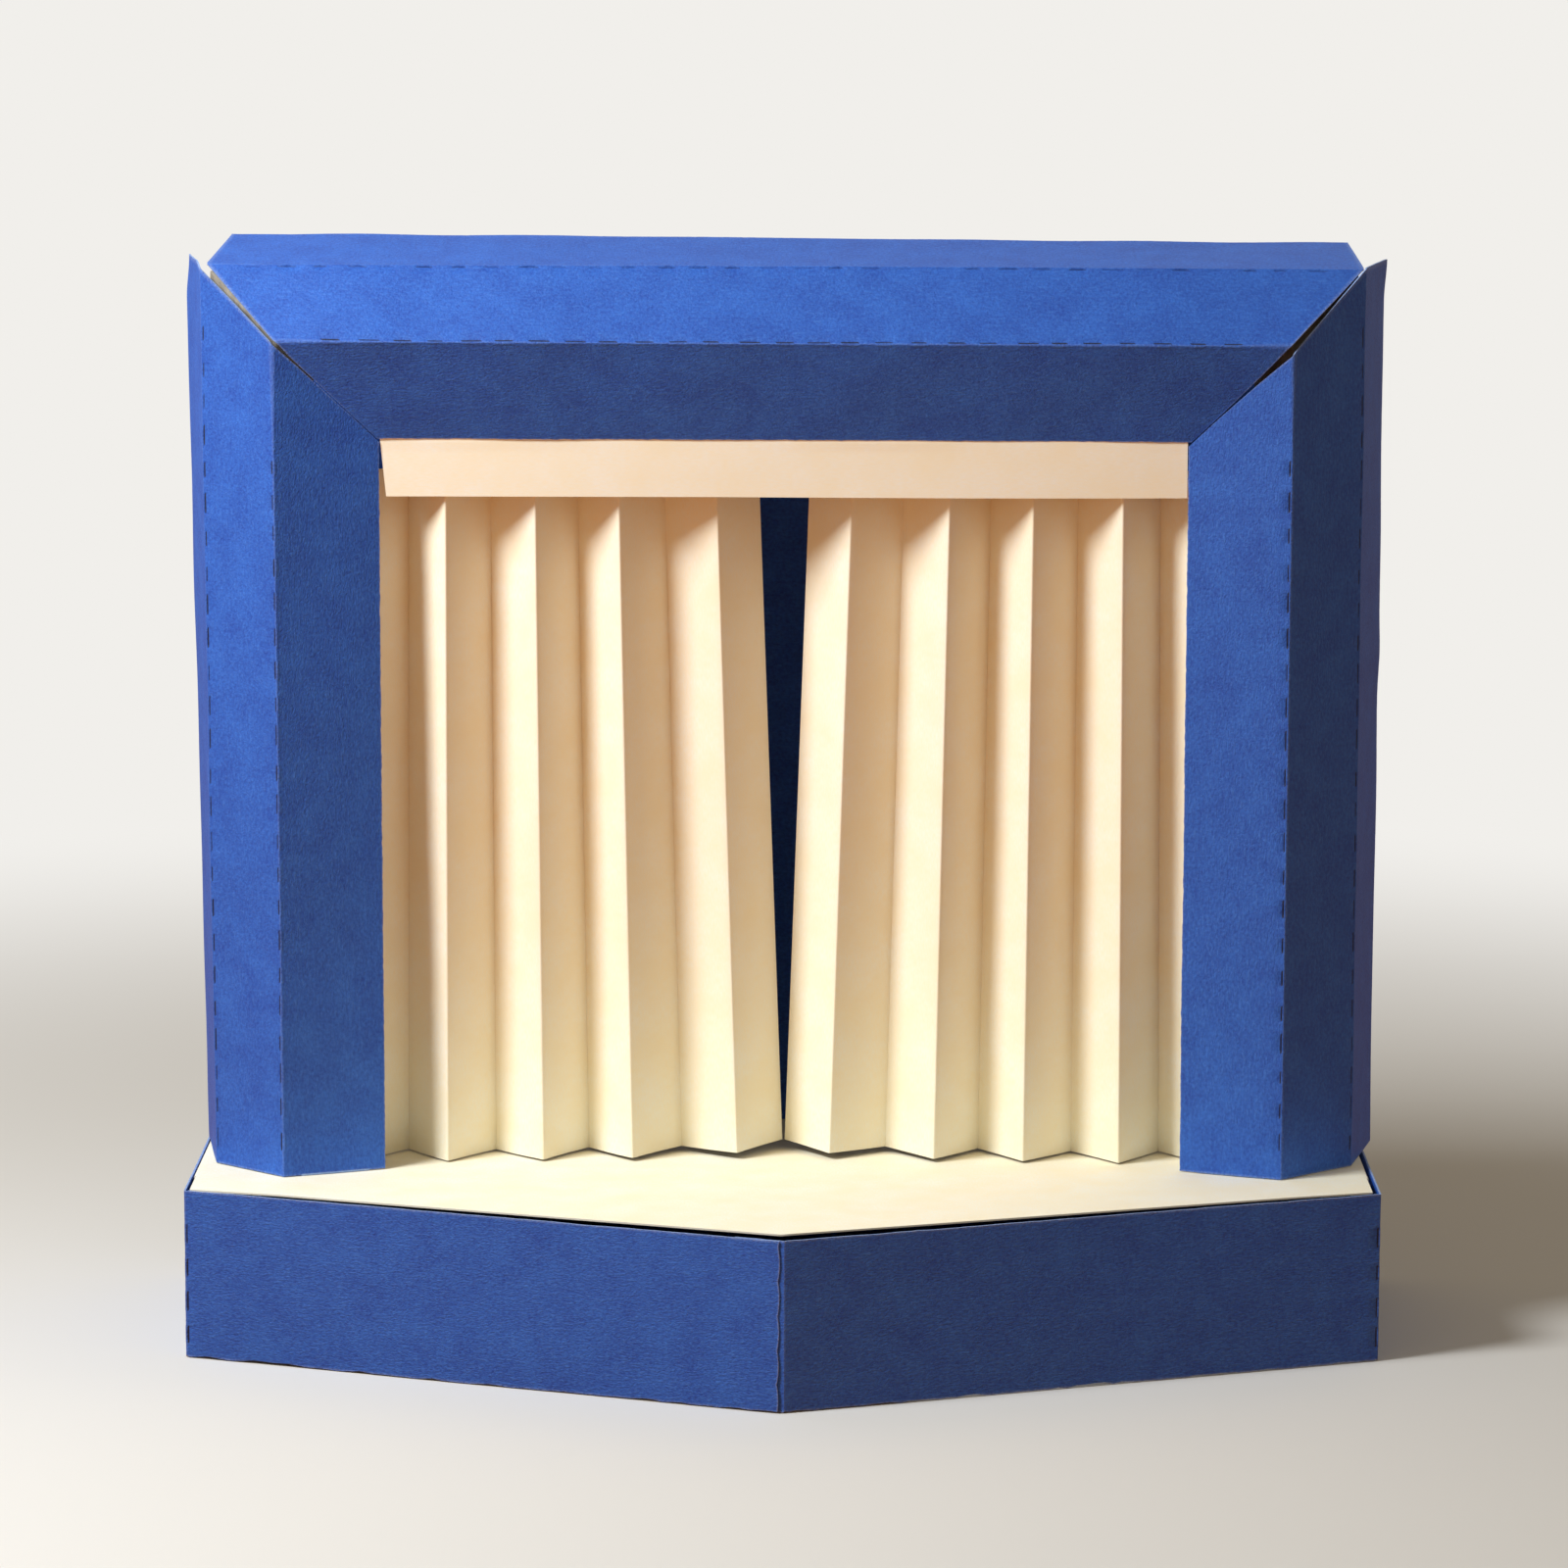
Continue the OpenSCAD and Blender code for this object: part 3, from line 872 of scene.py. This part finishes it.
def beam():
    """The top beam: the posts' section laid on its side, mitred at both ends."""
    seed = 33
    plain = np.arange(-92.8, 93.0, ROW)
    ends = np.linspace(0.0, 1.0, MITRE_ROWS)[1:]
    part = np.concatenate([-ends[::-1], np.zeros(len(plain)), ends])
    across = np.concatenate([
        plain[0] - ends[::-1] * (OPENING + RIDGE[0] + plain[0]),
        plain,
        plain[-1] + ends * (OPENING + RIDGE[0] - plain[-1]),
    ])
    opened = ease((np.abs(across) - BEAM_OPENS_AT) / BEAM_OPENS_OVER)
    sections = []
    for x, o in zip(across, opened):
        splay = np.interp(x, [-120.0, 120.0], [10.6, 8.4])
        sections.append(frame_section(splay, 0.4 + 0.4 * o, 0.4 + 0.8 * o, 0.48, 0.75, -0.2))
    line, normal, flat, kinds = stacked(sections)
    u = np.minimum(line[:, :, 0], FOLD[0])
    rear = np.clip(1.0 - flat / FLAP_W, 0.0, 1.0)
    left_end = -(OPENING + u - left_beam_gap(u) * math.sqrt(0.5) - 3.4 * rear)
    right_end = OPENING + u - right_gap(u) * math.sqrt(0.5) - 1.6 * rear
    run = np.abs(part)[:, None]
    x = np.where(part[:, None] < 0.0, plain[0] + run * (left_end - plain[0]), across[:, None])
    x = np.where(part[:, None] > 0.0, plain[-1] + run * (right_end - plain[-1]), x)
    line = line + normal * (0.16 * waves(flat, x, 42.0, seed) - 0.12)[:, :, None]
    line[:, :, 0] += np.interp(x, [-120.0, 120.0], [LEFT_RISE, RIGHT_RISE])
    way = np.stack([normal[:, :, 1], -normal[:, :, 0]], axis=-1)
    line[:, 0] += way[:, 0] * np.abs(ragged(len(part), 0.09, seed + 1))[:, None]
    line[:, -1] -= way[:, -1] * ragged(len(part), 0.05, seed + 2)[:, None]
    slit = perforate(line, normal, kinds, x, -106.5, 108.0, RIDGE_FOLD, BEFORE, 0.24, 1.0, seed + 5)
    slit = slit + perforate(line, normal, kinds, x, -126.0, 128.0, FLAP_FOLD, AFTER, 0.1, 0.5, seed + 6)
    inner = line - CARD * normal
    card = Card("top_beam_card", (900.0, 70.0))
    card.shell(
        joined(x, line[:, :, 1], BEAM_Z + line[:, :, 0]),
        joined(x, inner[:, :, 1], BEAM_Z + inner[:, :, 0]),
        np.stack([x, flat], axis=-1),
        rubbed(x.shape, kinds),
        slit,
    )
    card.make("top_beam", "theatre", BLUE)


beam()


# Lengths of a corner strap outside the ridge, inside it, and to each side of the mitre
STRAP_OUTSIDE = 21.0
STRAP_INSIDE = 9.0
STRAP_HALF = 10.0


def corner_strap(name, node, hand, sag_outside, sag_ridge, seed):
    """A strap glued behind a mitre, folded round the ridge, half on the post and half on the beam."""
    deep = CARD + 0.3
    outer_way = unit(RIDGE - FOLD)
    inner_way = unit(EDGE - RIDGE)
    turned = outer_way @ inner_way
    ridge = RIDGE + [0.35, 0.0] - deep * (left_of(outer_way) + left_of(inner_way)) / (1.0 + turned)
    path = [ridge - STRAP_OUTSIDE * outer_way, ridge, ridge + STRAP_INSIDE * inner_way]
    line, normal, flat, _ = folded_section(path, [0.5], [14, 8])
    d = np.linspace(-STRAP_HALF, STRAP_HALF, 41)[:, None]
    d = d + 0.08 * waves(flat[None, :], d, 6.0, seed)
    # The strap is tucked in behind the open gap, deepest at the ridge
    sag = np.interp(flat, [0.0, STRAP_OUTSIDE], [sag_outside, sag_ridge])
    sunk = sag * np.exp(-(d / 3.5) ** 2)
    reach = np.abs(d) * math.sqrt(2.0)
    faces = []
    for thick in (0.0, CARD - 0.02):
        u = line[:, 0] - thick * normal[:, 0] + 0.0 * d
        depth = line[:, 1] - thick * normal[:, 1] + sunk
        x = OPENING + u - np.where(d > 0.0, reach, 0.0)
        z = BEAM_Z + u - np.where(d < 0.0, reach, 0.0)
        faces.append(joined(hand * x, depth, z))
    card = Card(name, (seed * 20.0, 33.0))
    card.shell(faces[0], faces[1], np.stack([flat + 0.0 * d, d], axis=-1))
    # Painted shade: the strap gets the grey brown shaded cream card
    card.make(node, "theatre", STRAP_SHADED)


corner_strap("corner_strap_left_card", "corner_strap_left", -1.0, 1.2, 3.4, 41)
corner_strap("corner_strap_right_card", "corner_strap_right", 1.0, 4.0, 5.5, 42)


VALANCE_DROP = 12.8
VALANCE_FLANGE = 12.0


def valance():
    """The strip that hangs from a flange behind the lower face of the beam."""
    seed = 43
    inner_way = unit(RIDGE - EDGE)
    top = np.array([0.6, EDGE[1] + CARD * inner_way[0]])
    flange = top + VALANCE_FLANGE * inner_way
    xs = np.linspace(-1.0, 1.0, 130)
    foot = 0.12 * waves(xs * 90.0, 0.0, 120.0, seed) - VALANCE_DROP
    sections = [folded_section([flange, top, (f, top[1])], [0.5], [8, 10]) for f in foot]
    line, normal, flat, _ = stacked(sections)
    u = line[:, :, 0]
    # Its left end is cut at a slant
    low = -(OPENING - 0.3 - 0.1 * np.clip(-u, 0.0, 14.0))
    high = OPENING - 0.45
    x = low + (high - low) * (xs[:, None] + 1.0) / 2.0
    line = line + normal * np.where(u < -0.5, 0.12 * waves(x, u, 60.0, seed) - 0.12, 0.0)[:, :, None]
    inner = line - CARD * normal
    card = Card("valance_card", (520.0, 400.0))
    card.shell(
        joined(x, line[:, :, 1], BEAM_Z + line[:, :, 0]),
        joined(x, inner[:, :, 1], BEAM_Z + inner[:, :, 0]),
        np.stack([flat, x], axis=-1),
    )
    card.make("valance", "theatre", CREAM)


valance()


BACKDROP_HALF = 120.0
BACKDROP_FOOT = 10.0
BACKDROP_TOP = 225.2


def backdrop():
    """The sheet behind the curtains, glued to the back wall below and standing free above it."""
    x = np.linspace(-BACKDROP_HALF, BACKDROP_HALF, 97)[None, :]
    z = np.linspace(BACKDROP_FOOT, BACKDROP_TOP, 87)[:, None]
    y = REAR_Y - 2.0 * CARD - 0.35 * ease((z - 45.0) / 60.0) * (1.0 + waves(x, z, 150.0, 51)) / 2.0
    x = x + 0.0 * z
    z = z + 0.0 * x
    card = Card("backdrop_card", (700.0, 300.0))
    card.shell(joined(x, y, z), joined(x, y + CARD, z), np.stack([x, z], axis=-1))
    card.make("backdrop", "theatre", BLUE)


backdrop()


# Curtains, worked out on the left and mirrored

CURTAIN_H = 166.0
# Width of a pleat on the flat card, and of its face between the rounds
PLEAT_W = 16.0
PLEAT_FACE = 15.4
PLEATS = sum(joint["name"].startswith("left_fold_") for joint in frame["joints"])
# Foot and head of the free edge. The other folds stand on the axes of their joints
FREE_FOOT = np.array([-0.2, 30.2151])
FREE_HEAD = np.array([-6.05, 22.8287])
fold_feet, fold_leans = [], []
for number in range(1, PLEATS + 1):
    joint = next(j for j in frame["joints"] if j["name"] == f"left_fold_{number}")
    axis = np.array(joint["axis"])
    fold_feet.append(np.array(joint["pos_m"][:2]) * 1000.0)
    fold_leans.append(axis[:2] / axis[2])
fold_feet.append(FREE_FOOT)
fold_leans.append((FREE_HEAD - FREE_FOOT) / CURTAIN_H)


def hem(k):
    """Height of the hem above the floor at a fold: it rises towards the closing edge."""
    return 0.3 + 1.9 * (k / PLEATS) ** 3


def pleat(side, hand, k, seed):
    """One panel between two folds, each with the round of the card on its outside."""
    runs_back = k % 2 == 0
    closes = k == PLEATS - 1
    span = fold_feet[k + 1] - fold_feet[k]
    width = math.sqrt(span @ span - CARD ** 2)
    turn = math.atan2(span[1], span[0]) + (1.0 if runs_back else -1.0) * math.atan2(CARD, width)
    way = np.array([math.cos(turn), math.sin(turn)])
    back = left_of(way)
    # The near fold turns on one face and the far fold on the other; their rounds lie opposite
    outside = -back if runs_back else back
    face = np.linspace(0.0, 1.0, 11)
    quarter = np.linspace(0.0, math.pi / 2.0, 5)
    up = np.linspace(0.0, 1.0, 48)
    fronts, backs, flats = [], [], []
    stations = [(0.0, part) for part in quarter[:-1]]
    stations += [(s, None) for s in face]
    stations += [(1.0, part) for part in quarter[1:]]
    for s, part in stations:
        far = s == 1.0 and part is not None
        if far and closes:
            continue
        height = hem(k) + s * (hem(k + 1) - hem(k)) + CURTAIN_H * up
        near_line = fold_feet[k] + height[:, None] * fold_leans[k]
        far_line = fold_feet[k + 1] + height[:, None] * fold_leans[k + 1]
        if part is None:
            reach = ((far_line - near_line) @ way)[:, None]
            # Neighbours bow the same way, so that they nest when the curtain is folded up
            bow = 0.28 * math.sin(math.pi * s) * waves(height, 0.0, 90.0, seed)[:, None]
            hinge_face = near_line + s * reach * way + bow * outside
            other_face = hinge_face + CARD * outside
            flats.append(PLEAT_W * k + PLEAT_FACE * s)
        elif far:
            rim = -outside * math.cos(part) + way * math.sin(part)
            other_face = far_line + 0.15 * CARD * rim * (part / quarter[-1])
            hinge_face = far_line + 0.97 * CARD * rim
            flats.append(PLEAT_W * k + PLEAT_FACE + CARD * part)
        else:
            rim = -way * math.cos(part) + outside * math.sin(part)
            hinge_face = near_line + 0.15 * CARD * rim * (1.0 - part / quarter[-1])
            other_face = near_line + CARD * rim
            flats.append(PLEAT_W * k - CARD * (quarter[-1] - part))
        fronts.append(np.column_stack([hand * other_face[:, 0], other_face[:, 1], FLOOR_Z + height]))
        backs.append(np.column_stack([hand * hinge_face[:, 0], hinge_face[:, 1], FLOOR_Z + height]))
    front = np.stack(fronts, axis=1)
    rear = np.stack(backs, axis=1)
    flat = np.stack([np.tile(flats, (len(up), 1)), front[:, :, 2]], axis=-1)
    name = f"{side}_pleat_{k + 1}"
    card = Card(f"{name}_card", (30.0 + 300.0 * (hand > 0.0), 600.0))
    card.shell(front, rear, flat)
    card.make(name, name, CREAM)


# Width of the flat end of a curtain, and the reach and depth of the tab under it
CURTAIN_END_W = 24.0
END_TAB_FROM = 4.0
END_TAB_TO = 20.0
END_TAB_DEEP = 8.0


def curtain_end(side, hand):
    """The flat end of a curtain behind the post, leaning with the first fold, on a tab glued to the floor."""
    s = np.linspace(-CURTAIN_END_W, 0.0, 13)[None, :]
    h = np.linspace(0.05, CURTAIN_H, 40)[:, None]
    x = fold_feet[0][0] + np.where(s == 0.0, h * fold_leans[0][0], s) + 0.0 * h
    y = fold_feet[0][1] + h * fold_leans[0][1] + 0.0 * s
    z = FLOOR_Z + h + 0.0 * s
    card = Card(f"{side}_curtain_end_card", (10.0, 800.0 + 100.0 * hand))
    flat = np.stack([x, z], axis=-1)
    card.shell(joined(hand * x, y - CARD, z), joined(hand * x, y, z), flat)
    s = fold_feet[0][0] + np.linspace(-END_TAB_TO, -END_TAB_FROM, 9)[None, :]
    d = fold_feet[0][1] + np.linspace(-CARD / 2.0, END_TAB_DEEP - CARD / 2.0, 6)[:, None]
    s = s + 0.0 * d
    d = d + 0.0 * s
    tab = np.full(s.shape, FLOOR_Z)
    card.shell(joined(hand * s, d, tab + CARD), joined(hand * s, d, tab), np.stack([s, d], axis=-1))
    card.make(f"{side}_curtain_end", "theatre", CREAM)


for side, hand in (("left", 1.0), ("right", -1.0)):
    curtain_end(side, hand)
    for k in range(PLEATS):
        pleat(side, hand, k, 60 if hand > 0.0 else 80)


# Ground, light and camera

# Metres from here on
BACKGROUND = "#f1efeb"
GROUND = "#e6e3de"
BOUNCE = "#d88a50"
GROUND_Z = -0.0002
GROUND_REACH = 9.0
# The ground fades into the background between these distances from the middle
FADE_FROM = 0.24
FADE_TO = 0.75
FILL = "#ffeed4"
FILL_LEVEL = 0.29
LAMP_AT = (-0.47, -0.275, 0.61)
LAMP_AIM = (0.0, 0.0, 0.12)
LAMP_POWER = 5.7
LAMP_SIZE = 0.24
LAMP_COLOUR = "#f8fcff"
CAMERA_AT = (0.008, -1.3549, 0.3579)
PITCH = math.radians(9.383)
YAW = math.radians(-0.332)
ROLL = math.radians(0.105)
LENS_MM = 135.0
SENSOR_MM = 36.0


def ground():
    """A wide pale sheet under the theatre that fades into the background far from it.

    It looks pale, and what it throws back on the theatre is dimmer and warm.
    """
    rings = np.geomspace(0.05, GROUND_REACH, 40)
    turns = np.linspace(0.0, 2.0 * math.pi, 97)[:-1]
    points = [(0.0, 0.0, GROUND_Z)]
    points += [(r * math.cos(a), r * math.sin(a), GROUND_Z) for r in rings for a in turns]
    n = len(turns)
    faces = [(0, 1 + k, 1 + (k + 1) % n) for k in range(n)]
    for r in range(len(rings) - 1):
        low = 1 + r * n
        faces += [(low + k, low + n + k, low + n + (k + 1) % n, low + (k + 1) % n) for k in range(n)]
    mesh = bpy.data.meshes.new("ground")
    mesh.from_pydata(points, [], faces)
    mesh.shade_smooth()
    sheet = bpy.data.objects.new("ground", mesh)
    bpy.context.scene.collection.objects.link(sheet)
    finish, tree = new_finish("pale_ground_paper")
    place = add(tree, "ShaderNodeNewGeometry").outputs["Position"]
    away = add(tree, "ShaderNodeVectorMath", {0: place}, operation="LENGTH")
    fade = add(
        tree,
        "ShaderNodeMapRange",
        {"Value": away.outputs["Value"], "From Min": FADE_FROM, "From Max": FADE_TO},
        interpolation_type="SMOOTHSTEP",
    )
    rays = add(tree, "ShaderNodeLightPath")
    paper = add(tree, "ShaderNodeBsdfDiffuse", {"Color": linear(GROUND)})
    glow = add(tree, "ShaderNodeEmission", {"Color": linear(BACKGROUND)})
    shown = add(
        tree,
        "ShaderNodeMixShader",
        {0: fade.outputs["Result"], 1: paper.outputs["BSDF"], 2: glow.outputs["Emission"]},
    )
    bounce = add(tree, "ShaderNodeBsdfDiffuse", {"Color": linear(BOUNCE)})
    mixed = add(
        tree,
        "ShaderNodeMixShader",
        {0: rays.outputs["Is Camera Ray"], 1: bounce.outputs["BSDF"], 2: shown.outputs["Shader"]},
    )
    add(tree, "ShaderNodeOutputMaterial", {"Surface": mixed.outputs["Shader"]})
    mesh.materials.append(finish)


ground()

world = bpy.data.worlds.new("studio")
bpy.context.scene.world = world
world.use_nodes = True
sky = world.node_tree
sky.nodes.clear()
rays = add(sky, "ShaderNodeLightPath")
seen = add(
    sky,
    "ShaderNodeMath",
    {0: rays.outputs["Is Camera Ray"], 1: rays.outputs["Is Glossy Ray"]},
    operation="MAXIMUM",
)
seen = add(
    sky,
    "ShaderNodeMath",
    {0: seen.outputs["Value"], 1: rays.outputs["Is Transmission Ray"]},
    operation="MAXIMUM",
)
fill = add(sky, "ShaderNodeBackground", {"Color": linear(FILL), "Strength": FILL_LEVEL})
shown = add(sky, "ShaderNodeBackground", {"Color": linear(BACKGROUND), "Strength": 1.0})
mixed = add(
    sky,
    "ShaderNodeMixShader",
    {0: seen.outputs["Value"], 1: fill.outputs["Background"], 2: shown.outputs["Background"]},
)
add(sky, "ShaderNodeOutputWorld", {"Surface": mixed.outputs["Shader"]})

# One soft lamp, close by on the left
key = bpy.data.lights.new("key_lamp", "AREA")
key.shape = "DISK"
key.size = LAMP_SIZE
key.energy = LAMP_POWER
key.color = linear(LAMP_COLOUR)[:3]
lamp = bpy.data.objects.new("key_lamp", key)
bpy.context.scene.collection.objects.link(lamp)
lamp.location = LAMP_AT
lamp.rotation_euler = (Vector(LAMP_AIM) - lamp.location).to_track_quat("-Z", "Y").to_euler()

forward = Vector((math.sin(YAW) * math.cos(PITCH), math.cos(YAW) * math.cos(PITCH), -math.sin(PITCH)))
right = Vector((math.cos(YAW), -math.sin(YAW), 0.0))
up = right.cross(forward)
camera = bpy.data.cameras.new("camera")
camera.sensor_width = SENSOR_MM
camera.lens = LENS_MM
viewer = bpy.data.objects.new("camera", camera)
bpy.context.scene.collection.objects.link(viewer)
turned = Matrix((
    right * math.cos(ROLL) + up * math.sin(ROLL),
    up * math.cos(ROLL) - right * math.sin(ROLL),
    -forward,
)).transposed()
viewer.matrix_world = Matrix.Translation(CAMERA_AT) @ turned.to_4x4()
bpy.context.scene.camera = viewer
bpy.context.scene.view_settings.view_transform = "Standard"
